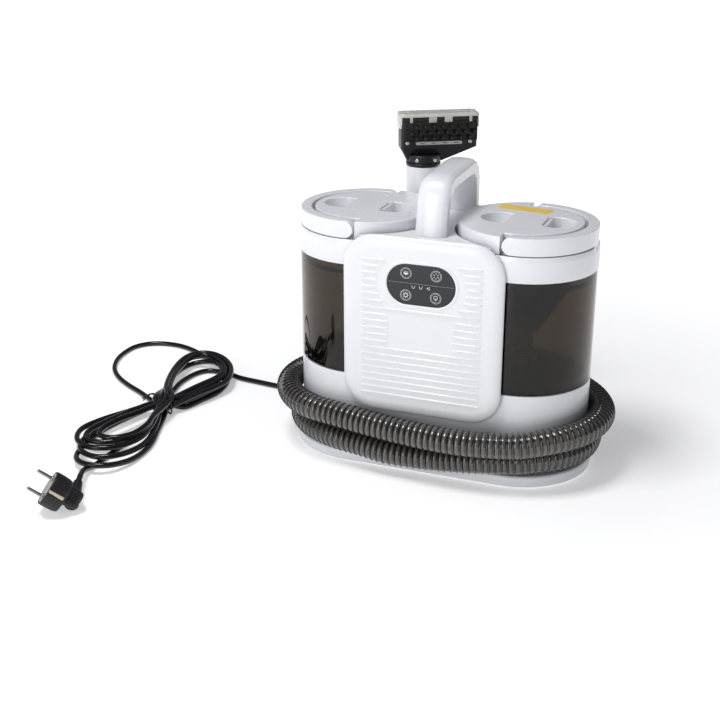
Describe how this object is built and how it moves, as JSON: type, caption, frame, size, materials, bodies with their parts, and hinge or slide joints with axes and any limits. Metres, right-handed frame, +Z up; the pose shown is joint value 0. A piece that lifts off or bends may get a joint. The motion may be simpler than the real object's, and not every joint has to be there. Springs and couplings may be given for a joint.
{
  "type": "spot extractor",
  "caption": "Portable spot extractor for carpet and upholstery: lift-off barrel tanks beside a ribbed control panel, arched carry handle, hose wrapped round the base, upright brush wand.",
  "frame": {"origin": "centre of the machine's box on the floor, measured without the hose and power cord", "axes": "+Z up; the control panel faces -Y; +X to the right of someone facing the panel from behind it, so the clean-water tank is at +X and the wand stands at -X, +Y"},
  "size_m": [0.644, 0.4551, 0.3372],
  "materials": {
    "white_abs": "moulded, satin gloss",
    "panel_white": "moulded, fine satin",
    "smoked_tank": "transparent smoked, glossy",
    "black_abs": "moulded, satin",
    "black_rubber": "matt",
    "display_lens": "smooth gloss",
    "clear_cap": "transparent, glossy",
    "grey_plastic": "moulded, satin",
    "beige_valve": "moulded, satin",
    "smoked_hose": "corrugated flexible, satin gloss",
    "cord_pvc": "soft PVC, satin",
    "circuit_board": "solder-masked laminate",
    "motor_steel": "rolled can"
  },
  "bodies": {
    "main": {"plinth": "white_abs", "lower_body": "white_abs", "tower": "white_abs", "front_panel": "panel_white", "display_window": "display_lens", "rear_cover": "white_abs", "carry_handle": "white_abs", "wand_dock": "white_abs", "hose_port": "white_abs", "cord_gland": "black_rubber", "foot_1": "black_rubber", "foot_2": "black_rubber", "foot_3": "black_rubber", "foot_4": "black_rubber", "control_board": "circuit_board", "blower_motor": "motor_steel", "blower_housing": "black_abs", "water_pump": "black_abs", "water_line": "grey_plastic", "suction_duct": "black_abs", "suction_port": "black_rubber", "water_socket": "grey_plastic", "hose": "smoked_hose", "cord_relief": "black_rubber", "cord_lead": "cord_pvc", "cord_loop": "cord_pvc", "cord_hank": "cord_pvc", "cord_tail": "cord_pvc", "plug": "cord_pvc"},
    "fan": {"impeller": "grey_plastic"},
    "left_tank_body": {"left_tank": "smoked_tank", "left_collar": "white_abs", "standpipe": "black_abs"},
    "right_tank_body": {"right_tank": "smoked_tank", "right_collar": "white_abs", "valve_seat": "beige_valve"},
    "right_valve": {"outlet_valve": "black_rubber"},
    "left_lid_body": {"left_lid": "white_abs", "left_lid_seal": "black_rubber", "float_cage": "black_abs"},
    "right_lid_body": {"right_lid": "white_abs", "right_lid_seal": "black_rubber", "fill_strainer": "black_abs"},
    "float": {"float_ball": "grey_plastic"},
    "left_bail_body": {"left_bail": "white_abs"},
    "right_bail_body": {"right_bail": "white_abs"},
    "left_latch_body": {"left_latch": "white_abs"},
    "right_latch_body": {"right_latch": "white_abs"},
    "wand": {"wand_grip": "white_abs", "wand_cuff": "black_abs", "head_collar": "black_abs", "brush_head": "black_abs", "bristle_block": "black_abs", "spray_bar": "grey_plastic", "head_cap": "clear_cap"},
    "wand_trigger": {"trigger": "black_abs"}
  },
  "joints": [
    {"name": "impeller_spin", "type": "hinge", "parent": "main", "child": "fan", "pos_m": [0, -0.03055, 0.065], "axis": [0, 0, 1], "continuous": true},
    {"name": "left_tank_lift", "type": "slide", "parent": "main", "child": "left_tank_body", "axis": [-0.0995, 0, 0.995], "range_m": [0, 0.15]},
    {"name": "right_tank_lift", "type": "slide", "parent": "main", "child": "right_tank_body", "axis": [0.0995, 0, 0.995], "range_m": [0, 0.15]},
    {"name": "left_lid_lift", "type": "slide", "parent": "left_tank_body", "child": "left_lid_body", "axis": [0, 0, 1], "range_m": [0, 0.08]},
    {"name": "right_lid_lift", "type": "slide", "parent": "right_tank_body", "child": "right_lid_body", "axis": [0, 0, 1], "range_m": [0, 0.1]},
    {"name": "left_bail_swing", "type": "hinge", "parent": "left_lid_body", "child": "left_bail_body", "pos_m": [-0.0842, -0.03055, 0.24925], "axis": [0, 1, 0], "range_deg": [0, 90]},
    {"name": "right_bail_swing", "type": "hinge", "parent": "right_lid_body", "child": "right_bail_body", "pos_m": [0.0842, -0.03055, 0.24925], "axis": [0, -1, 0], "range_deg": [0, 90]},
    {"name": "left_latch_press", "type": "slide", "parent": "left_lid_body", "child": "left_latch_body", "axis": [-1, 0, 0], "range_m": [0, 0.0035], "stiffness_N_per_m": 600},
    {"name": "right_latch_press", "type": "slide", "parent": "right_lid_body", "child": "right_latch_body", "axis": [-1, 0, 0], "range_m": [0, 0.0035], "stiffness_N_per_m": 600},
    {"name": "float_rise", "type": "slide", "parent": "left_lid_body", "child": "float", "axis": [0, 0, 1], "range_m": [0, 0.0095]},
    {"name": "outlet_valve_press", "type": "slide", "parent": "right_tank_body", "child": "right_valve", "axis": [0, 0, 1], "range_m": [0, 0.004], "stiffness_N_per_m": 300},
    {"name": "wand_lift", "type": "slide", "parent": "main", "child": "wand", "axis": [0, 0, 1], "range_m": [0, 0.036]},
    {"name": "trigger_pull", "type": "hinge", "parent": "wand", "child": "wand_trigger", "pos_m": [-0.067, 0.08431, 0.2725], "axis": [-0.866, -0.5, 0], "range_deg": [0, 8], "stiffness_Nm_per_rad": 0.5}
  ]
}
